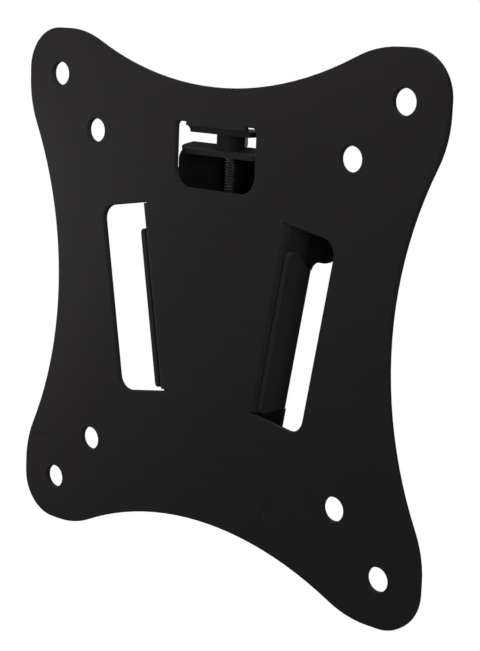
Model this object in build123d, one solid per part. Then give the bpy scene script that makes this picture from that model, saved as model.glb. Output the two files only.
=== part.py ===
from build123d import *
import os
from math import cos, hypot, radians, sin, sqrt, tan

# Fixed wall bracket for a small flat screen: a folded screen plate slides down into a folded wall plate.
# X runs to the right, Y back to the wall and Z up. The wall face is y = 0, and the screen's hole pattern is
# centred on x = 0, z = 0. All sizes are in millimetres, and angles in degrees.

# Sheet, bends and overall depth
SHEET = 1.2
BEND_INNER = 0.3
EDGE_BREAK = 0.25
DEPTH = 9.6

# Outline of the screen plate, the same on all four sides
PLATE_WIDTH = 121.5
WAIST_WIDTH = 99.4
CORNER_RADIUS = 10.0
SHOULDER_RADIUS = 24.0
LOBE_FLAT = 2.75

# Screen screw holes, two squares on one centre
SMALL_PATTERN = 75.0
LARGE_PATTERN = 100.0
SCREEN_HOLE = 5.5

# Slanted slots and the tabs folded back at their inner edges. Heights run along the fold.
SLANT = 9.6
FOLD_HALF = 16.8
SLOT_WIDTH = 14.4
SLOT_TOP = 22.6
SLOT_BOTTOM = -21.4
SLOT_RADIUS = 3.5
TAB_TOP = 16.7
TAB_BOTTOM = -20.9
TAB_DEPTH = 6.5
TAB_LEAN = 2.0
TAB_RADIUS = 1.5

# Window in the screen plate, with a lip folded back at its top edge
WINDOW_WIDTH = 23.5
WINDOW_BOTTOM = 27.0
WINDOW_RADIUS = 4.25
NOTCH_DEPTH = 0.8
NOTCH_RADIUS = 1.2
LIP_WIDTH = 17.4
LIP_UNDERSIDE = 39.4
LIP_DEPTH = 9.0
LIP_RADIUS = 2.0

# Wall plate: flanges that take the tabs, ears, neck and foot
SLIDE_CLEARANCE = 0.15
FLANGE_RECESS = 0.4
FLANGE_BOTTOM = -20.6
FLANGE_TOP = 16.6
FLANGE_ROOT_TOP = 12.0
FLANGE_RADIUS = 1.0
FLANGE_FLAT = 2.6
BEND_RELIEF = 0.4
EDGE_INSET = 0.45
EAR_REACH = 6.2
EAR_TOP = 29.0
EAR_BOTTOM = 14.4
EAR_RADIUS = 2.8
ARMPIT_RADIUS = 2.6
NECK_WIDTH = 36.8
NECK_RADIUS = 3.0
NECK_ROOT_RADIUS = 1.5
FOOT_BOTTOM = -38.0
FOOT_RADIUS = 4.0
WALL_HOLE = 5.0
EAR_HOLE_LENGTH = 7.0
EAR_HOLE_INSET = 5.6
EAR_HOLE_HEIGHT = 24.2
FOOT_HOLE_HEIGHT = -30.0

# Ledge folded forward at the top of the wall plate, falling a little towards the front
LEDGE_WIDTH = 27.2
LEDGE_GAP = 0.5
LEDGE_RADIUS = 4.0
LEDGE_DROP = 2.8
LEDGE_FALL = 9.0

# Lock screw and nut
SCREW_DIAMETER = 3.0
SCREW_LENGTH = 16.0
SCREW_SETBACK = 6.0
SCREW_TIP = 0.5
SCREW_HOLE = 3.5
HEAD_DIAMETER = 5.6
HEAD_HEIGHT = 2.2
HEAD_ROUND = 0.7
RECESS_WIDTH = 3.0
RECESS_ARM = 0.8
RECESS_DEPTH = 1.2
NUT_FLATS = 6.4
NUT_CHAMFER = 30.0
THREAD_CLEARANCE = 0.05

# How near a corner must lie to a given point to be picked
TOUCH = 0.001

# Worked out from the sizes above
BEND_OUTER = BEND_INNER + SHEET
FRONT = -DEPTH
PANEL_DEPTH = DEPTH - SHEET
LEDGE_RUN = Vector(-cos(radians(LEDGE_FALL)), -sin(radians(LEDGE_FALL)))
LEDGE_NORMAL = Vector(-sin(radians(LEDGE_FALL)), cos(radians(LEDGE_FALL)))
NECK_TOP = LIP_UNDERSIDE - LEDGE_DROP - BEND_OUTER * LEDGE_NORMAL.Y
LEDGE_BEND = Vector(-BEND_OUTER, NECK_TOP)
LEDGE_TOP = LEDGE_BEND + LEDGE_NORMAL * BEND_OUTER
LIP_ROOT = LIP_UNDERSIDE + BEND_OUTER
SCREW_Y = FRONT + SCREW_SETBACK
OUTWARD = Vector(cos(radians(SLANT)), 0, -sin(radians(SLANT)))
UPWARD = Vector(sin(radians(SLANT)), 0, cos(radians(SLANT)))
FOLD_START = Vector(FOLD_HALF, FRONT, 0)


def facing_front(y):
    """Plane parallel to the wall at y, drawn in X and Z, with its normal to the front."""
    return Plane(origin=(0, y, 0), x_dir=(1, 0, 0), z_dir=(0, -1, 0))


def across_fold(height):
    """Plane across the right-hand fold, drawn outward and back, at a height along the fold."""
    return Plane(origin=FOLD_START + UPWARD * height, x_dir=OUTWARD, z_dir=UPWARD)


def beside_fold():
    """Plane along the right-hand fold, drawn back and up the fold, with its normal outward."""
    return Plane(origin=FOLD_START, x_dir=(0, 1, 0), z_dir=OUTWARD)


def seen_from_right(x):
    """Plane across X at x, drawn back and up, with its normal to the right."""
    return Plane(origin=(x, 0, 0), x_dir=(0, 1, 0), z_dir=(1, 0, 0))


def both_sides(shape):
    """A right-hand shape and its mirror image on the left."""
    return [shape, mirror(shape, about=Plane.YZ)]


def rounded(face, corners, radius):
    """A face with the corners that lie at the given points rounded."""
    picked = []
    for corner in corners:
        point = Vector(*corner)
        picked += [vertex for vertex in face.vertices() if (vertex.center() - point).length < TOUCH]
    return fillet(picked, radius)


def side_strip(section, side, low, high):
    """A section drawn across the right-hand fold, run along the fold and trimmed to a side view."""
    strip = extrude(across_fold(low) * section, high - low)
    trim = extrude(beside_fold() * side, SLOT_WIDTH, both=True)
    return strip & trim


def plate_face():
    """Screen plate from the front: hollowed sides, soft shoulders and round corners, four times round."""
    top = PLATE_WIDTH / 2
    waist = WAIST_WIDTH / 2
    corner = top - CORNER_RADIUS
    shoulder_x = corner - LOBE_FLAT
    shoulder_z = top - SHOULDER_RADIUS
    rise = waist - shoulder_z
    # The hollow arc passes through the waist and touches the shoulder arcs at both ends
    hollow = (shoulder_x ** 2 + rise ** 2 - SHOULDER_RADIUS ** 2) / (2 * (SHOULDER_RADIUS - rise))
    reach = hypot(shoulder_x, rise + hollow)
    lean_x = shoulder_x / reach
    lean_z = (rise + hollow) / reach
    touch = (hollow * lean_x, waist + hollow - hollow * lean_z)
    middle = Vector(-lean_x, lean_z + 1).normalized() * SHOULDER_RADIUS
    diagonal = corner + CORNER_RADIUS / sqrt(2)
    edges = []
    for quarter in range(4):
        side = [
            ThreePointArc((-touch[0], touch[1]), (0, waist), touch),
            ThreePointArc(touch, (shoulder_x + middle.X, shoulder_z + middle.Y), (shoulder_x, top)),
            Line((shoulder_x, top), (corner, top)),
            ThreePointArc((corner, top), (diagonal, diagonal), (top, corner)),
            Line((top, corner), (top, shoulder_x)),
            ThreePointArc((top, shoulder_x), (shoulder_z + middle.Y, shoulder_x + middle.X), touch[::-1]),
        ]
        edges += [edge.rotate(Axis.Z, -90 * quarter) for edge in side]
    return make_face(edges)


def slot_face():
    """Right-hand slot, with its inner edge on the fold and its outer corners rounded."""
    length = SLOT_TOP - SLOT_BOTTOM
    face = Rectangle(SLOT_WIDTH, length, align=(Align.MIN, Align.MIN))
    outer = [(SLOT_WIDTH, 0), (SLOT_WIDTH, length)]
    face = rounded(face, outer, SLOT_RADIUS)
    return Pos(FOLD_HALF, 0) * Rot(0, 0, -SLANT) * Pos(0, SLOT_BOTTOM) * face


def window_face():
    """Window with rounded lower corners, and a notch at each end of the lip's root."""
    half = WINDOW_WIDTH / 2
    lip_half = LIP_WIDTH / 2
    notch_top = LIP_ROOT + NOTCH_DEPTH
    face = make_face(Polyline(
        (-half, WINDOW_BOTTOM), (half, WINDOW_BOTTOM), (half, notch_top), (lip_half, notch_top),
        (lip_half, LIP_ROOT), (-lip_half, LIP_ROOT), (-lip_half, notch_top), (-half, notch_top), close=True))
    face = rounded(face, [(-half, WINDOW_BOTTOM), (half, WINDOW_BOTTOM)], WINDOW_RADIUS)
    return rounded(face, [(-half, notch_top), (half, notch_top)], NOTCH_RADIUS)


def tab_face():
    """Section of the right-hand tab: round the bend and back, leaning outward by TAB_LEAN."""
    centre = Vector(0, BEND_OUTER)
    along = Vector(sin(radians(TAB_LEAN)), cos(radians(TAB_LEAN)))
    out = Vector(cos(radians(TAB_LEAN)), -sin(radians(TAB_LEAN)))
    middle = (out + Vector(0, -1)).normalized()
    root = -SHEET
    run = (TAB_DEPTH - BEND_OUTER) / along.Y
    outer = centre + out * BEND_OUTER
    inner = centre + out * BEND_INNER
    return make_face([
        Line((root, 0), (0, 0)),
        ThreePointArc((0, 0), centre + middle * BEND_OUTER, outer),
        Line(outer, outer + along * run),
        Line(outer + along * run, inner + along * run),
        Line(inner + along * run, inner),
        ThreePointArc(inner, centre + middle * BEND_INNER, (0, SHEET)),
        Line((0, SHEET), (root, SHEET)),
        Line((root, SHEET), (root, 0)),
    ])


def flange_face():
    """Section of the right-hand flange, parallel to the tab outside it, and its bend into the panel."""
    along = Vector(sin(radians(TAB_LEAN)), cos(radians(TAB_LEAN)))
    out = Vector(cos(radians(TAB_LEAN)), -sin(radians(TAB_LEAN)))
    tab_outer = Vector(0, BEND_OUTER) + out * BEND_OUTER
    inner_line = tab_outer + out * SLIDE_CLEARANCE
    centre_depth = PANEL_DEPTH - BEND_INNER
    # The bend's centre lies BEND_INNER inside both the flange's inner face and the panel's front face
    start = inner_line - out * BEND_INNER
    centre = start + along * ((centre_depth - start.Y) / along.Y)
    tip = (centre_depth - FLANGE_RECESS) / along.Y
    middle = (out + Vector(0, 1)).normalized()
    root = centre.X - SHEET
    inner = centre + out * BEND_INNER
    outer = centre + out * BEND_OUTER
    face = make_face([
        Line(inner - along * tip, inner),
        ThreePointArc(inner, centre + middle * BEND_INNER, (centre.X, PANEL_DEPTH)),
        Line((centre.X, PANEL_DEPTH), (root, PANEL_DEPTH)),
        Line((root, PANEL_DEPTH), (root, DEPTH)),
        Line((root, DEPTH), (centre.X, DEPTH)),
        ThreePointArc((centre.X, DEPTH), centre + middle * BEND_OUTER, outer),
        Line(outer, outer - along * tip),
        Line(outer - along * tip, inner - along * tip),
    ])
    return face, centre.X, outer.X


def screen_plate():
    """Screen plate: one sheet with holes, two slots with tabs, and a window with a lip."""
    cut = plate_face()
    for pattern in (SMALL_PATTERN, LARGE_PATTERN):
        cut -= GridLocations(pattern, pattern, 2, 2) * Circle(SCREEN_HOLE / 2)
    cut -= [slot_face(), mirror(slot_face(), about=Plane.YZ)]
    cut -= window_face()
    plate = extrude(facing_front(FRONT + SHEET) * cut, SHEET)
    plate = chamfer(plate.faces().sort_by(Axis.Y)[0].edges(), EDGE_BREAK)

    tab_side = make_face(Polyline(
        (0, TAB_BOTTOM), (TAB_DEPTH, TAB_BOTTOM), (TAB_DEPTH, TAB_TOP), (0, TAB_TOP), close=True))
    tab_side = rounded(tab_side, [(TAB_DEPTH, TAB_BOTTOM), (TAB_DEPTH, TAB_TOP)], TAB_RADIUS)
    tab = side_strip(tab_face(), tab_side, TAB_BOTTOM, TAB_TOP)

    lip_section = make_face([
        Line((FRONT, LIP_ROOT + SHEET), (FRONT, LIP_ROOT)),
        RadiusArc((FRONT, LIP_ROOT), (FRONT + BEND_OUTER, LIP_UNDERSIDE), BEND_OUTER),
        Line((FRONT + BEND_OUTER, LIP_UNDERSIDE), (FRONT + LIP_DEPTH, LIP_UNDERSIDE)),
        Line((FRONT + LIP_DEPTH, LIP_UNDERSIDE), (FRONT + LIP_DEPTH, LIP_UNDERSIDE + SHEET)),
        Line((FRONT + LIP_DEPTH, LIP_UNDERSIDE + SHEET), (FRONT + BEND_OUTER, LIP_UNDERSIDE + SHEET)),
        RadiusArc((FRONT + BEND_OUTER, LIP_UNDERSIDE + SHEET), (FRONT + SHEET, LIP_ROOT), -BEND_INNER),
        Line((FRONT + SHEET, LIP_ROOT), (FRONT + SHEET, LIP_ROOT + SHEET)),
        Line((FRONT + SHEET, LIP_ROOT + SHEET), (FRONT, LIP_ROOT + SHEET)),
    ])
    lip = extrude(seen_from_right(-LIP_WIDTH / 2) * lip_section, LIP_WIDTH)
    lip = fillet(lip.edges().filter_by(Axis.Z).sort_by(Axis.Y)[-2:], LIP_RADIUS)
    lip -= Pos(0, SCREW_Y, LIP_UNDERSIDE + SHEET / 2) * Cylinder(SCREW_HOLE / 2, 2 * SHEET)
    return plate + both_sides(tab) + lip


def slanted_edge(edge_out, height):
    """Point at a height on the wall plate's right-hand slanted edge, which lies edge_out from the fold."""
    lift = (height + edge_out * sin(radians(SLANT))) / cos(radians(SLANT))
    return FOLD_HALF + edge_out * cos(radians(SLANT)) + lift * sin(radians(SLANT)), height


def panel_face(edge_out):
    """Wall plate from the front, before its folds: foot, slanted sides, ears with their holes, and neck."""
    foot = slanted_edge(edge_out, FOOT_BOTTOM)
    armpit = slanted_edge(edge_out, EAR_BOTTOM)
    ear = armpit[0] + EAR_REACH
    neck = NECK_WIDTH / 2
    right = [foot, armpit, (ear, EAR_BOTTOM), (ear, EAR_TOP), (neck, EAR_TOP), (neck, NECK_TOP)]
    left = [(-x, z) for x, z in reversed(right)]
    face = make_face(Polyline(*right, *left, close=True))
    radii = [FOOT_RADIUS, ARMPIT_RADIUS, EAR_RADIUS, EAR_RADIUS, NECK_ROOT_RADIUS, NECK_RADIUS]
    for corner, radius in zip(right, radii):
        face = rounded(face, [corner, (-corner[0], corner[1])], radius)
    hole = ear - EAR_HOLE_INSET
    holes = Locations((-hole, EAR_HOLE_HEIGHT), (hole, EAR_HOLE_HEIGHT))
    face -= holes * SlotOverall(EAR_HOLE_LENGTH, WALL_HOLE)
    face -= Pos(0, FOOT_HOLE_HEIGHT) * Circle(WALL_HOLE / 2)
    return face


def wall_plate():
    """Wall plate: one sheet with two flanges folded forward, ears, and a ledge folded forward."""
    section, bend_line, edge_out = flange_face()
    face = panel_face(edge_out - EDGE_INSET)
    # The panel is cut away where the flanges bend out of it, with a relief under each flange
    notch_height = FLANGE_ROOT_TOP - FLANGE_BOTTOM + BEND_RELIEF
    notch = Rectangle(SLOT_WIDTH, notch_height, align=(Align.MIN, Align.MIN))
    notch = Pos(FOLD_HALF, 0) * Rot(0, 0, -SLANT) * Pos(bend_line, FLANGE_BOTTOM - BEND_RELIEF) * notch
    face -= [notch, mirror(notch, about=Plane.YZ)]
    panel = extrude(facing_front(0) * face, SHEET)

    side = make_face(Polyline(
        (FLANGE_RECESS, FLANGE_BOTTOM), (DEPTH, FLANGE_BOTTOM), (DEPTH, FLANGE_ROOT_TOP),
        (PANEL_DEPTH - BEND_INNER, FLANGE_ROOT_TOP), (FLANGE_RECESS + FLANGE_FLAT, FLANGE_TOP),
        (FLANGE_RECESS, FLANGE_TOP), close=True))
    side = rounded(side, [(FLANGE_RECESS, FLANGE_BOTTOM), (FLANGE_RECESS, FLANGE_TOP)], FLANGE_RADIUS)
    flange = side_strip(section, side, FLANGE_BOTTOM, FLANGE_TOP)

    ledge_front = FRONT + SHEET + LEDGE_GAP
    under = LEDGE_BEND + LEDGE_NORMAL * BEND_INNER
    reach = LEDGE_RUN * ((ledge_front - LEDGE_TOP.X) / LEDGE_RUN.X)
    middle = (LEDGE_NORMAL + Vector(1, 0)).normalized()
    ledge_section = make_face([
        Line((0, NECK_TOP - SHEET), (0, NECK_TOP)),
        ThreePointArc((0, NECK_TOP), LEDGE_BEND + middle * BEND_OUTER, LEDGE_TOP),
        Line(LEDGE_TOP, LEDGE_TOP + reach),
        Line(LEDGE_TOP + reach, under + reach),
        Line(under + reach, under),
        ThreePointArc(under, LEDGE_BEND + middle * BEND_INNER, (-SHEET, NECK_TOP)),
        Line((-SHEET, NECK_TOP), (-SHEET, NECK_TOP - SHEET)),
        Line((-SHEET, NECK_TOP - SHEET), (0, NECK_TOP - SHEET)),
    ])
    ledge = extrude(seen_from_right(-LEDGE_WIDTH / 2) * ledge_section, LEDGE_WIDTH)
    front_face = ledge.faces().sort_by(Axis.Y)[0]
    ledge = fillet(front_face.edges().sort_by(SortBy.LENGTH)[:2], LEDGE_RADIUS)
    ledge -= Pos(0, SCREW_Y, NECK_TOP) * Cylinder(SCREW_HOLE / 2, 2 * LEDGE_DROP)
    return panel + both_sides(flange) + ledge


def lock_screw():
    """Cheese-head machine screw with a cross recess, head up, its shank plain where the thread runs."""
    seat = LIP_UNDERSIDE + SHEET
    radius = SCREW_DIAMETER / 2
    head = HEAD_DIAMETER / 2
    profile = make_face(Polyline(
        (0, -SCREW_LENGTH), (radius - SCREW_TIP, -SCREW_LENGTH), (radius, SCREW_TIP - SCREW_LENGTH),
        (radius, 0), (head, 0), (head, HEAD_HEIGHT), (0, HEAD_HEIGHT), close=True))
    profile = rounded(profile, [(head, HEAD_HEIGHT)], HEAD_ROUND)
    screw = revolve(Plane.XZ * profile, Axis.Z)
    cross = Rectangle(RECESS_WIDTH, RECESS_ARM) + Rectangle(RECESS_ARM, RECESS_WIDTH)
    screw -= extrude(Plane.XY.offset(HEAD_HEIGHT) * cross, -RECESS_DEPTH)
    return Pos(0, SCREW_Y, seat) * screw


def lock_nut():
    """Hexagon nut welded on the ledge under the lip: a flat to the front, its lower face cut to the ledge."""
    corner = NUT_FLATS / sqrt(3)
    height = LEDGE_DROP + DEPTH * tan(radians(LEDGE_FALL))
    chamfer_drop = (corner - NUT_FLATS / 2) * tan(radians(NUT_CHAMFER))
    turned = make_face(Polyline(
        (0, 0), (NUT_FLATS / 2, 0), (corner, -chamfer_drop), (corner, -height), (0, -height), close=True))
    nut = extrude(RegularPolygon(corner, 6), -height) & revolve(Plane.XZ * turned, Axis.Z)
    nut -= Cylinder(SCREW_DIAMETER / 2 + THREAD_CLEARANCE, 2 * height)
    nut = Pos(0, SCREW_Y, LIP_UNDERSIDE) * nut
    normal = (0, LEDGE_NORMAL.X, LEDGE_NORMAL.Y)
    seat = Plane(origin=(0, LEDGE_TOP.X, LEDGE_TOP.Y), x_dir=(1, 0, 0), z_dir=normal)
    return split(nut, seat, keep=Keep.TOP)


os.makedirs("parts", exist_ok=True)
for make in (screen_plate, wall_plate, lock_screw, lock_nut):
    export_step(make(), f"parts/{make.__name__}.step")
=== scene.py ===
"""Dresses a fixed wall bracket for a small flat screen and sets it in a plain studio.

Every size is in metres, every angle in degrees, and every place in the CAD model's own frame: X to
the right, Y back to the wall, Z up, with the wall face at y = 0.
"""

import logging
import math
from collections.abc import Mapping, Sequence
from dataclasses import dataclass
from enum import Enum
from typing import Any, Union

import bmesh
import bpy
from mathutils import Matrix, Vector


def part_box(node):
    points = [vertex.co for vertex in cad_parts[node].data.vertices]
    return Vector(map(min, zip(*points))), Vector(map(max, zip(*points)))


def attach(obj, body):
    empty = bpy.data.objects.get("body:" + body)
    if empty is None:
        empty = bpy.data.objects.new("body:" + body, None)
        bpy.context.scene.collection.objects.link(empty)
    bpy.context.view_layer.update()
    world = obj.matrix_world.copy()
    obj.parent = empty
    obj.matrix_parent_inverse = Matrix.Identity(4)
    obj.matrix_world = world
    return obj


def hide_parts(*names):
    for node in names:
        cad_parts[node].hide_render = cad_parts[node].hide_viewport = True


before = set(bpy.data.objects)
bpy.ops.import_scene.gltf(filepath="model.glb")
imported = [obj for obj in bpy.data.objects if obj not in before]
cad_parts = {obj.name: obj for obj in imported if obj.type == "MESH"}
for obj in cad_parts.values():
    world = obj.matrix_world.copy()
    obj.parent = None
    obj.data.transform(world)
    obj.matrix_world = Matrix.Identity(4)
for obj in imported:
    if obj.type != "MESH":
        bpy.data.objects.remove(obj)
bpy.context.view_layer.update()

LOG = logging.getLogger("bracket")
MM = 0.001
BODY = "root"
JOIN_DISTANCE = 0.0005 * MM
FLAT_ANGLE = 0.4
Pair = tuple[float, float]
Triple = tuple[float, float, float]
Colour = tuple[float, float, float, float]


class Slot(Enum):
    """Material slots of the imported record."""

    COAT = "black_coat"
    HARDWARE = "black_hardware"


class Value:
    """A socket that carries a number, so that shader maths reads as Python."""

    def __init__(self, graph: "Graph", socket: bpy.types.NodeSocket) -> None:
        """Wraps an output socket of a graph."""
        self.graph = graph
        self.socket = socket

    def _with(self, operation: str, first: "Input", second: "Input" = 0.0) -> "Value":
        """Adds one Math node.

        Args:
            operation: The Math node's operation.
            first: Its first value.
            second: Its second value.

        Returns:
            The node's result.
        """
        return self.graph.value("ShaderNodeMath", {"operation": operation}, {0: first, 1: second})

    def __add__(self, other: "Input") -> "Value":
        """Sum."""
        return self._with("ADD", self, other)

    def __radd__(self, other: "Input") -> "Value":
        """Sum with a number on the left."""
        return self._with("ADD", other, self)

    def __sub__(self, other: "Input") -> "Value":
        """Difference."""
        return self._with("SUBTRACT", self, other)

    def __rsub__(self, other: "Input") -> "Value":
        """Difference from a number on the left."""
        return self._with("SUBTRACT", other, self)

    def __mul__(self, other: "Input") -> "Value":
        """Product."""
        return self._with("MULTIPLY", self, other)

    def __rmul__(self, other: "Input") -> "Value":
        """Product with a number on the left."""
        return self._with("MULTIPLY", other, self)

    def __truediv__(self, other: "Input") -> "Value":
        """Quotient."""
        return self._with("DIVIDE", self, other)

    def __rtruediv__(self, other: "Input") -> "Value":
        """Quotient of a number on the left."""
        return self._with("DIVIDE", other, self)

    def __abs__(self) -> "Value":
        """Size without the sign."""
        return self._with("ABSOLUTE", self)

    def __lt__(self, other: "Input") -> "Value":
        """1 where this is the smaller, 0 elsewhere."""
        return self._with("LESS_THAN", self, other)

    def at_least(self, floor: "Input") -> "Value":
        """The larger of this and another value."""
        return self._with("MAXIMUM", self, floor)

    def at_most(self, ceiling: "Input") -> "Value":
        """The smaller of this and another value."""
        return self._with("MINIMUM", self, ceiling)

    def root(self) -> "Value":
        """Square root."""
        return self._with("SQRT", self)


Input = Union[Value, float, Sequence[float]]


class Graph:
    """A node tree that is filled one node at a time."""

    def __init__(self, tree: bpy.types.NodeTree) -> None:
        """Starts from an emptied tree."""
        self.tree = tree
        self.tree.nodes.clear()

    def node(
        self,
        kind: str,
        settings: Mapping[str, Any] | None = None,
        sockets: Mapping[int | str, Input] | None = None,
    ) -> bpy.types.Node:
        """Adds a node of any kind.

        Args:
            kind: The node's type.
            settings: Its properties, set before its sockets.
            sockets: Numbers, colours or links for its inputs, by name or place.

        Returns:
            The new node.
        """
        made = self.tree.nodes.new(kind)
        for name, setting in (settings or {}).items():
            setattr(made, name, setting)
        for key, given in (sockets or {}).items():
            if isinstance(given, Value):
                self.tree.links.new(given.socket, made.inputs[key])
            else:
                made.inputs[key].default_value = given
        return made

    def value(
        self,
        kind: str,
        settings: Mapping[str, Any] | None = None,
        sockets: Mapping[int | str, Input] | None = None,
        output: int | str = 0,
    ) -> Value:
        """Adds a node and wraps one of its outputs.

        Args:
            kind: The node's type.
            settings: Its properties.
            sockets: Numbers, colours or links for its inputs.
            output: The output to wrap, by name or place.

        Returns:
            The wrapped output.
        """
        return Value(self, self.node(kind, settings, sockets).outputs[output])

    def place(self) -> Value:
        """The point on the object, in its own coordinates."""
        return self.value("ShaderNodeTexCoord", output="Object")

    def parts(self, vector: Value) -> tuple[Value, Value, Value]:
        """Splits a vector.

        Args:
            vector: The vector to split.

        Returns:
            Its X, Y and Z.
        """
        split = self.node("ShaderNodeSeparateXYZ", sockets={"Vector": vector})
        x, y, z = (Value(self, output) for output in split.outputs)
        return x, y, z

    def noise(self, where: Value, grain: Sequence[float], detail: float = 2.0) -> Value:
        """Soft random pattern from 0 to 1.

        Args:
            where: The point on the object.
            grain: Length of the pattern's features along X, Y and Z.
            detail: How many finer layers are added.

        Returns:
            The pattern's level.
        """
        scale = tuple(1.0 / length for length in grain)
        stretched = self.value("ShaderNodeMapping", sockets={"Vector": where, "Scale": scale})
        sockets = {"Vector": stretched, "Scale": 1.0, "Detail": detail}
        return self.value("ShaderNodeTexNoise", sockets=sockets)

    def blend(self, share: Value, low: Colour, high: Colour) -> Value:
        """Colour between two others, on the colour sockets of a Mix node.

        Args:
            share: 0 for the first colour and 1 for the second.
            low: The first colour.
            high: The second colour.

        Returns:
            The blended colour.
        """
        sockets = {0: share, 6: low, 7: high}
        return self.value("ShaderNodeMix", {"data_type": "RGBA"}, sockets, output=2)

    def relief(self, height: Value, depth: float, strength: float) -> Value:
        """Surface normal of a fine relief.

        Args:
            height: The relief's level, from 0 to 1.
            depth: Its depth.
            strength: How much of it shows.

        Returns:
            The normal.
        """
        sockets = {"Strength": strength, "Distance": depth, "Height": height}
        return self.value("ShaderNodeBump", sockets=sockets)

    def seen_rays(self) -> Value:
        """Tells the rays that show the surroundings from those that only light the bracket.

        Returns:
            1 for rays from the camera, from gloss and through glass, 0 for the rest.
        """
        path = self.node("ShaderNodeLightPath")
        seen = Value(self, path.outputs["Is Camera Ray"])
        for name in ("Is Glossy Ray", "Is Transmission Ray"):
            seen = seen + Value(self, path.outputs[name])
        return seen.at_most(1.0)


def new_material(name: str) -> tuple[bpy.types.Material, Graph]:
    """Makes an empty material.

    Args:
        name: The material's name.

    Returns:
        The material and its graph.
    """
    material = bpy.data.materials.new(name)
    material.use_nodes = True
    return material, Graph(material.node_tree)


def grey(level: float, warmth: float = 0.0) -> Colour:
    """A grey with a slight warm or cool cast.

    Args:
        level: Its linear level.
        warmth: Share added to red and half of it taken from green.

    Returns:
        The colour.
    """
    return (level * (1 + warmth), level * (1 - warmth / 2), level, 1.0)


@dataclass(frozen=True)
class Crease:
    """A shallow pressed line in a sheet's front, drawn in X and Z, with its colour darkened by
    painted shade.
    """

    start: Pair
    end: Pair
    half_width: float

    def mask(self, x: Value, z: Value) -> Value:
        """Level of the crease.

        Args:
            x: Place along X.
            z: Place along Z.

        Returns:
            1 on the middle of the line, fading to 0 at its sides and ends.
        """
        run = Vector(self.end) - Vector(self.start)
        way = run.normalized()
        middle = (Vector(self.start) + Vector(self.end)) / 2
        along = abs((x - middle.x) * way.x + (z - middle.y) * way.y) / (run.length / 2)
        across = abs((x - middle.x) * way.y - (z - middle.y) * way.x) / self.half_width
        return (1.0 - along).at_least(0.0) * (1.0 - across).at_least(0.0)


# One crease below the middle of the screen plate and one at its lower left corner,
# each darkened with painted shade.
PLATE_CREASES = (
    Crease((20.6 * MM, -38.0 * MM), (14.6 * MM, -48.6 * MM), 0.8 * MM),
    Crease((-59.5 * MM, -40.3 * MM), (-51.5 * MM, -40.1 * MM), 0.7 * MM),
)


@dataclass(frozen=True)
class PowderCoat:
    """Satin black powder coat over rolled sheet, whose fine lines still show through.

    A grain is the length of a pattern's features. The tone is mixed from the shares of the lines,
    the coat's peel and the patches, and the height from those of the lines and the peel. A crease
    lowers the height and darkens the tone with painted shade, which stands for the shadow in its
    dent. It does this only on the face in front of crease_front.
    """

    name: str
    dark: float = 0.0125
    light: float = 0.0180
    warmth: float = 0.06
    gloss_level: float = 0.006
    roughness: float = 0.59
    line_roughness: float = 0.06
    patch_roughness: float = 0.05
    line_grain: Triple = (26 * MM, 26 * MM, 0.55 * MM)
    line_detail: float = 3.0
    peel_grain: Triple = (0.7 * MM, 0.7 * MM, 0.7 * MM)
    patch_grain: Triple = (24 * MM, 24 * MM, 24 * MM)
    tone_shares: Triple = (0.55, 0.2, 0.25)
    height_shares: Pair = (0.45, 0.55)
    relief_depth: float = 0.02 * MM
    relief_strength: float = 0.35
    creases: tuple[Crease, ...] = ()
    crease_front: float = -9.3 * MM
    # Painted shade: how far a crease darkens the colour, standing for the shadow in its dent.
    crease_painted_shade: float = 0.8
    crease_depth: float = 2.5

    def material(self) -> bpy.types.Material:
        """Builds the coat.

        Returns:
            The material.
        """
        material, graph = new_material(self.name)
        where = graph.place()
        lines = graph.noise(where, self.line_grain, self.line_detail)
        peel = graph.noise(where, self.peel_grain)
        patches = graph.noise(where, self.patch_grain)
        line_tone, peel_tone, patch_tone = self.tone_shares
        share = lines * line_tone + peel * peel_tone + patches * patch_tone
        line_height, peel_height = self.height_shares
        height = lines * line_height + peel * peel_height
        if self.creases:
            x, y, z = graph.parts(where)
            on_front = y < self.crease_front
            for crease in self.creases:
                level = crease.mask(x, z) * on_front
                # Painted shade: the colour is darkened along the crease for the shadow in the dent,
                # and the height is lowered for the dent itself.
                share = share - level * self.crease_painted_shade
                height = height - level * self.crease_depth
        dark, light = grey(self.dark, self.warmth), grey(self.light, self.warmth)
        rough = self.roughness + lines * self.line_roughness + patches * self.patch_roughness
        shader = graph.value("ShaderNodeBsdfPrincipled", sockets={
            "Base Color": graph.blend(share.at_least(0.0), dark, light),
            "Roughness": rough,
            "Specular IOR Level": self.gloss_level,
            "Normal": graph.relief(height, self.relief_depth, self.relief_strength),
        })
        graph.node("ShaderNodeOutputMaterial", sockets={"Surface": shader})
        return material


@dataclass(frozen=True)
class BlackenedSteel:
    """Blackened steel of the screw, with bare metal just showing where it rubs."""

    name: str
    dark: float = 0.02
    worn: float = 0.10
    metallic: float = 0.8
    roughness: float = 0.40
    blotch_roughness: float = 0.12
    blotch_grain: Triple = (1.6 * MM, 1.6 * MM, 1.6 * MM)
    blotch_detail: float = 3.0
    rub_start: float = 0.5
    rub_gain: float = 2.4
    turning_grain: Triple = (3 * MM, 3 * MM, 0.12 * MM)
    relief_depth: float = 0.01 * MM
    relief_strength: float = 0.2

    def material(self) -> bpy.types.Material:
        """Builds the finish.

        Returns:
            The material.
        """
        material, graph = new_material(self.name)
        where = graph.place()
        blotch = graph.noise(where, self.blotch_grain, self.blotch_detail)
        turned = graph.noise(where, self.turning_grain)
        rubbed = ((blotch - self.rub_start) * self.rub_gain).at_least(0.0).at_most(1.0)
        shader = graph.value("ShaderNodeBsdfPrincipled", sockets={
            "Base Color": graph.blend(rubbed, grey(self.dark), grey(self.worn)),
            "Metallic": self.metallic,
            "Roughness": self.roughness + blotch * self.blotch_roughness,
            "Normal": graph.relief(turned, self.relief_depth, self.relief_strength),
        })
        graph.node("ShaderNodeOutputMaterial", sockets={"Surface": shader})
        return material


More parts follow.
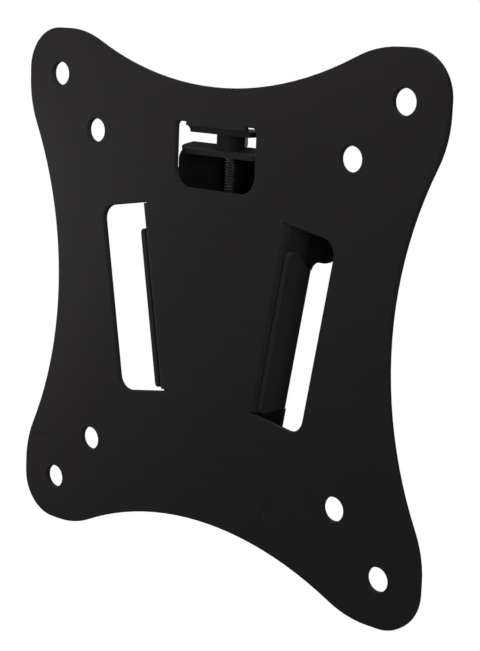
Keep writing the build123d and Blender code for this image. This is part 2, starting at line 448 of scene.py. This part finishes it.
@dataclass(frozen=True)
class PaleFloor:
    """White floor that shows the shadow under the bracket and runs out into the white around it."""

    name: str
    dull: float = 0.833
    albedo: float = 0.85
    grain: Triple = (4 * MM, 4 * MM, 4 * MM)
    shadow_share: float = 0.55
    near: float = 0.16
    far: float = 0.40

    def material(self) -> bpy.types.Material:
        """Builds the floor's finish.

        Returns:
            The material.
        """
        material, graph = new_material(self.name)
        where = graph.place()
        x, y, _ = graph.parts(where)
        apart = (x * x + y * y).root()
        fade = ((apart - self.near) / (self.far - self.near)).at_least(0.0).at_most(1.0)
        glow = (1.0 - self.shadow_share) + fade * self.shadow_share
        mottle = graph.noise(where, self.grain)
        paint = graph.value("ShaderNodeBsdfDiffuse", sockets={
            "Color": graph.blend(mottle, grey(self.dull), grey(self.albedo)),
        })
        white = graph.value("ShaderNodeEmission", sockets={"Color": grey(1.0), "Strength": 1.0})
        shown = graph.value("ShaderNodeMixShader", sockets={
            0: glow * graph.seen_rays(), 1: paint, 2: white,
        })
        graph.node("ShaderNodeOutputMaterial", sockets={"Surface": shown})
        return material


def copied_solid(node: str) -> bmesh.types.BMesh:
    """Copies a CAD node's mesh, with its loose triangles joined and its flat faces made whole.

    Args:
        node: The node's name.

    Returns:
        The joined mesh.
    """
    bm = bmesh.new()
    bm.from_mesh(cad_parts[node].data)
    bmesh.ops.remove_doubles(bm, verts=bm.verts[:], dist=JOIN_DISTANCE)
    bmesh.ops.dissolve_limit(
        bm, angle_limit=math.radians(FLAT_ANGLE), verts=bm.verts[:], edges=bm.edges[:])
    return bm


def round_edges(
    bm: bmesh.types.BMesh, width: float, least_angle: float, segments: int = 2
) -> None:
    """Rounds every edge that turns more than an angle.

    Args:
        bm: The mesh.
        width: Width of the rounding.
        least_angle: Least turn of a rounded edge.
        segments: Faces across the rounding.
    """
    least = math.radians(least_angle)
    sharp = [edge for edge in bm.edges if edge.is_manifold and edge.calc_face_angle() > least]
    bmesh.ops.bevel(
        bm, geom=sharp, offset=width, offset_type="OFFSET", affect="EDGES", segments=segments,
        profile=0.5, material=-1, clamp_overlap=True, loop_slide=True)


def finished_piece(
    bm: bmesh.types.BMesh,
    name: str,
    node: str,
    material: bpy.types.Material,
    smooth_angle: float,
) -> bpy.types.Object:
    """Turns a mesh into a piece that stands for a CAD node.

    Args:
        bm: The mesh, which is used up.
        name: The piece's name.
        node: The node that it stands for.
        material: Its material.
        smooth_angle: Edges that turn less than this are shaded smooth.

    Returns:
        The piece.
    """
    mesh = bpy.data.meshes.new(name)
    bm.to_mesh(mesh)
    bm.free()
    mesh.shade_smooth()
    mesh.set_sharp_from_angle(angle=math.radians(smooth_angle))
    mesh.materials.append(material)
    piece = bpy.data.objects.new(name, mesh)
    bpy.context.scene.collection.objects.link(piece)
    weighted = piece.modifiers.new("face weighted normals", "WEIGHTED_NORMAL")
    weighted.keep_sharp = True
    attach(piece, BODY)
    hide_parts(node)
    return piece


@dataclass
class FoldedSheet:
    """One sheet of the bracket, cut and folded, with its cut edges softened by the coat.

    The slack is the margin within which a point counts as lying at a given place.
    """

    name: str
    node: str
    coat: PowderCoat
    edge_round: float = 0.08 * MM
    edge_angle: float = 32.0
    smooth_angle: float = 50.0
    slack: float = 0.05 * MM

    def build(self) -> bpy.types.Object:
        """Builds and dresses the sheet.

        Returns:
            The piece.
        """
        bm = copied_solid(self.node)
        self.form(bm)
        round_edges(bm, self.edge_round, self.edge_angle)
        coat = self.coat.material()
        return finished_piece(bm, self.name, self.node, coat, self.smooth_angle)

    def form(self, bm: bmesh.types.BMesh) -> None:
        """Leaves the sheet as it was folded."""


@dataclass
class ScreenPlate(FoldedSheet):
    """Sheet that the screen is screwed to.

    Its two slanted tabs fill their slots and nearly reach the wall plate. The CAD solid gives each
    tab its place: the folds' half distance and slant, the tab's two ends, its rear edge, its lean
    and the rounding of its corners. No point of a tab lies further from the fold than its reach.
    """

    fold_half: float = 16.8 * MM
    slant: float = 9.6
    tab_top: float = 16.7 * MM
    tab_bottom: float = -20.9 * MM
    tab_back: float = -3.1 * MM
    tab_lean: float = 2.0
    tab_round: float = 1.5 * MM
    tab_reach: float = 3.0 * MM
    tab_rise: float = 5.8 * MM
    tab_deepening: float = 1.5 * MM

    def form(self, bm: bmesh.types.BMesh) -> None:
        """Draws both tabs up along their folds and back towards the wall.

        Args:
            bm: The sheet's mesh.
        """
        slant = math.radians(self.slant)
        lean = math.tan(math.radians(self.tab_lean))
        low, high = self.tab_bottom - self.slack, self.tab_top + self.slack
        end_start = self.tab_top - self.tab_round - self.slack
        rear_start = self.tab_back - self.tab_round - self.slack
        for side in (-1, 1):
            fold = Vector((side * self.fold_half, 0, 0))
            along = Vector((side * math.sin(slant), 0, math.cos(slant)))
            out = Vector((side * math.cos(slant), 0, -math.sin(slant)))
            back = Vector((0, 1, 0)) + out * lean
            tab = [
                vert for vert in bm.verts
                if abs((vert.co - fold).dot(out)) < self.tab_reach
                and low < (vert.co - fold).dot(along) < high
            ]
            end = [vert for vert in tab if (vert.co - fold).dot(along) > end_start]
            rear = [vert for vert in tab if vert.co.y > rear_start]
            bmesh.ops.translate(bm, verts=end, vec=along * self.tab_rise)
            bmesh.ops.translate(bm, verts=rear, vec=back * self.tab_deepening)


@dataclass
class WallPlate(FoldedSheet):
    """Sheet that is screwed to the wall, whose ears come down low beside the flanges.

    The CAD solid gives the ears their place: the panel's front face, the height of their lower
    edges, the rounding of their outer corners, and X and Z where their inner round ends.
    """

    panel_front: float = -1.2 * MM
    ear_bottom: float = 14.4 * MM
    ear_round: float = 2.8 * MM
    ear_drop: float = 1.0 * MM
    inner_end: Pair = (21.54 * MM, 12.23 * MM)
    inner_drop: float = 0.73 * MM
    slant: float = 9.6

    def form(self, bm: bmesh.types.BMesh) -> None:
        """Draws the lower edges of both ears down, with the round at their inner ends.

        Args:
            bm: The sheet's mesh.
        """
        inner, low = self.inner_end
        high = self.ear_bottom + self.ear_round + self.slack
        slope = math.tan(math.radians(self.slant))
        lower_edges = [
            vert for vert in bm.verts
            if vert.co.y >= self.panel_front - self.slack
            and abs(vert.co.x) >= inner - self.slack
            and low - self.slack <= vert.co.z < high
        ]
        for vert in lower_edges:
            share = min((vert.co.z - low) / (self.ear_bottom - low), 1.0)
            drop = self.inner_drop + (self.ear_drop - self.inner_drop) * share
            shift = math.copysign(self.inner_drop * slope * (1.0 - share), vert.co.x)
            bmesh.ops.translate(bm, verts=[vert], vec=(-shift, 0, -drop))


@dataclass
class LockScrew:
    """Screw that holds the screen plate down, with a cut thread and a cross in its head.

    The sinks set the head and the thread into the core. The thread's half widths at its root and
    crest are shares of the pitch, and the tip's radius is a share of the core's.
    """

    name: str
    node: str
    finish: BlackenedSteel
    crest: float = 1.5 * MM
    thread_depth: float = 0.36 * MM
    thread_sink: float = 0.05 * MM
    pitch: float = 0.7 * MM
    root_share: float = 0.46
    crest_share: float = 0.07
    tip_chamfer: float = 0.5 * MM
    tip_share: float = 0.8
    head_height: float = 2.2 * MM
    head_sink: float = 0.02 * MM
    edge_round: float = 0.06 * MM
    edge_angle: float = 35.0
    smooth_angle: float = 35.0
    steps: int = 28
    pole_reach: float = 0.01 * MM
    pole_join: float = 0.001 * MM

    def build(self) -> bpy.types.Object:
        """Builds and dresses the screw.

        Returns:
            The piece.
        """
        low, high = (Vector(corner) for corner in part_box(self.node))
        axis = Vector(((low.x + high.x) / 2, (low.y + high.y) / 2, 0))
        seat = high.z - self.head_height
        bm = self._head(seat)
        self._core(bm, axis, low.z, seat)
        self._thread(bm, axis, low.z + self.tip_chamfer, seat - self.pitch)
        bmesh.ops.recalc_face_normals(bm, faces=bm.faces[:])
        finish = self.finish.material()
        return finished_piece(bm, self.name, self.node, finish, self.smooth_angle)

    def _head(self, seat: float) -> bmesh.types.BMesh:
        """Takes the head from the CAD solid.

        Args:
            seat: Height of the head's underside.

        Returns:
            A mesh of the head alone, closed below.
        """
        bm = copied_solid(self.node)
        bmesh.ops.bisect_plane(
            bm, geom=bm.verts[:] + bm.edges[:] + bm.faces[:],
            plane_co=(0, 0, seat - self.head_sink), plane_no=(0, 0, 1), clear_inner=True)
        bmesh.ops.holes_fill(bm, edges=[edge for edge in bm.edges if edge.is_boundary])
        round_edges(bm, self.edge_round, self.edge_angle)
        bmesh.ops.remove_doubles(bm, verts=bm.verts[:], dist=JOIN_DISTANCE)
        return bm

    def _core(self, bm: bmesh.types.BMesh, axis: Vector, tip: float, seat: float) -> None:
        """Turns the plain core under the thread.

        Args:
            bm: The screw's mesh.
            axis: A point on the screw's axis.
            tip: Height of the tip.
            seat: Height of the head's underside.
        """
        root = self.crest - self.thread_depth
        outline = [
            (0, tip), (root * self.tip_share, tip), (root, tip + self.tip_chamfer),
            (root, seat), (0, seat),
        ]
        points = [bm.verts.new(axis + Vector((radius, 0, height))) for radius, height in outline]
        edges = [bm.edges.new(pair) for pair in zip(points, points[1:])]
        bmesh.ops.spin(
            bm, geom=points + edges, cent=axis, axis=(0, 0, 1), dvec=(0, 0, 0),
            angle=2 * math.pi, steps=self.steps, use_merge=True, use_normal_flip=False,
            use_duplicate=False)
        poles = [vert for vert in bm.verts if (vert.co.xy - axis.xy).length < self.pole_reach]
        bmesh.ops.remove_doubles(bm, verts=poles, dist=self.pole_join)

    def _thread(self, bm: bmesh.types.BMesh, axis: Vector, start: float, end: float) -> None:
        """Winds the thread round the core.

        Args:
            bm: The screw's mesh.
            axis: A point on the screw's axis.
            start: Height where the thread starts.
            end: Height where it ends.
        """
        inner = self.crest - self.thread_depth - self.thread_sink
        half_root = self.pitch * self.root_share
        half_crest = self.pitch * self.crest_share
        section = [
            (inner, -half_root), (self.crest, -half_crest),
            (self.crest, half_crest), (inner, half_root),
        ]
        foot = axis + Vector((0, 0, start))
        points = [bm.verts.new(foot + Vector((radius, 0, rise))) for radius, rise in section]
        ridge = bm.faces.new(points)
        turns = (end - start) / self.pitch
        steps = round(turns * self.steps)
        bmesh.ops.spin(
            bm, geom=[ridge, *ridge.edges, *points], cent=axis, axis=(0, 0, 1),
            dvec=(0, 0, (end - start) / steps), angle=2 * math.pi * turns, steps=steps,
            use_merge=False, use_normal_flip=False, use_duplicate=False)


@dataclass
class LockNut:
    """Nut welded on the ledge, under the lip."""

    name: str
    node: str
    coat: PowderCoat
    edge_round: float = 0.1 * MM
    edge_angle: float = 25.0
    smooth_angle: float = 50.0

    def build(self) -> bpy.types.Object:
        """Builds and dresses the nut.

        Returns:
            The piece.
        """
        bm = copied_solid(self.node)
        round_edges(bm, self.edge_round, self.edge_angle)
        coat = self.coat.material()
        return finished_piece(bm, self.name, self.node, coat, self.smooth_angle)


@dataclass(frozen=True)
class Softbox:
    """A square soft light that looks at the middle of the bracket."""

    name: str
    place: Triple
    size: float
    power: float
    target: Triple = (0.0, -5 * MM, 0.0)

    def build(self) -> None:
        """Builds the light."""
        lamp = bpy.data.lights.new(self.name, "AREA")
        lamp.shape = "SQUARE"
        lamp.size = self.size
        lamp.energy = self.power
        light = bpy.data.objects.new(self.name, lamp)
        way = Vector(self.target) - Vector(self.place)
        turn = way.to_track_quat("-Z", "Y").to_matrix().to_4x4()
        light.matrix_world = Matrix.Translation(self.place) @ turn
        light.visible_camera = False
        bpy.context.scene.collection.objects.link(light)


@dataclass
class Studio:
    """Floor, lights, white surroundings and the camera at the photograph's view."""

    floor_height: float = -0.25
    floor_size: float = 1.2
    ambient: float = 0.03
    softboxes: tuple[Softbox, ...] = (
        Softbox("left softbox", (-0.140, -0.050, 0.008), size=0.05, power=0.235),
        Softbox("top softbox", (0.020, -0.075, 0.165), size=0.07, power=0.25),
        Softbox("side softbox", (0.5, -0.30, 0.09), size=0.25, power=1.6),
        Softbox("back softbox", (-0.15, 0.6, 0.12), size=0.4, power=4.0),
    )
    lens: float = 87.22
    sensor: float = 36.0
    near_clip: float = 0.01
    camera_place: Triple = (0.23177, -0.26906, 0.06729)
    camera_right: Triple = (0.75374, 0.65603, 0.03872)
    camera_up: Triple = (-0.15883, 0.12467, 0.97940)
    camera_back: Triple = (0.63769, -0.74437, 0.19817)

    def build(self) -> None:
        """Builds the whole studio."""
        self._floor()
        self._world()
        self._camera()
        for softbox in self.softboxes:
            softbox.build()
        bpy.context.scene.view_settings.view_transform = "Standard"

    def _floor(self) -> None:
        """Builds the floor."""
        bm = bmesh.new()
        bmesh.ops.create_grid(bm, x_segments=2, y_segments=2, size=self.floor_size / 2)
        bmesh.ops.translate(bm, verts=bm.verts[:], vec=(0, 0, self.floor_height))
        mesh = bpy.data.meshes.new("studio_floor")
        bm.to_mesh(mesh)
        bm.free()
        mesh.materials.append(PaleFloor("pale floor").material())
        floor = bpy.data.objects.new("studio_floor", mesh)
        bpy.context.scene.collection.objects.link(floor)

    def _world(self) -> None:
        """Builds the white surroundings, which light the bracket only a little."""
        world = bpy.data.worlds.new("white surroundings")
        world.use_nodes = True
        bpy.context.scene.world = world
        graph = Graph(world.node_tree)
        strength = self.ambient + graph.seen_rays() * (1.0 - self.ambient)
        sockets = {"Color": grey(1.0), "Strength": strength}
        white = graph.value("ShaderNodeBackground", sockets=sockets)
        graph.node("ShaderNodeOutputWorld", sockets={"Surface": white})

    def _camera(self) -> None:
        """Builds the camera."""
        lens = bpy.data.cameras.new("camera")
        lens.lens = self.lens
        lens.sensor_width = self.sensor
        lens.sensor_fit = "AUTO"
        lens.clip_start = self.near_clip
        camera = bpy.data.objects.new("camera", lens)
        axes = Matrix((self.camera_right, self.camera_up, self.camera_back))
        turn = axes.transposed().to_4x4()
        camera.matrix_world = Matrix.Translation(self.camera_place) @ turn
        bpy.context.scene.collection.objects.link(camera)
        bpy.context.scene.camera = camera


def main() -> None:
    """Builds the bracket's pieces and the studio, and reports each piece."""
    logging.basicConfig(level=logging.INFO, format="%(name)s: %(message)s")
    plate_coat = PowderCoat("black coat, screen plate", creases=PLATE_CREASES)
    pieces = (
        ScreenPlate("screen_plate_sheet", "screen_plate", plate_coat),
        WallPlate("wall_plate_sheet", "wall_plate", PowderCoat("black coat, wall plate")),
        LockScrew("lock_screw_cut", "lock_screw", BlackenedSteel("blackened steel")),
        LockNut("lock_nut_welded", "lock_nut", PowderCoat("black coat, nut")),
    )
    for piece in pieces:
        made = piece.build()
        faces = len(made.data.polygons)
        LOG.info("%s: %d faces in place of %s", made.name, faces, piece.node)
    Studio().build()


if __name__ == "__main__":
    main()
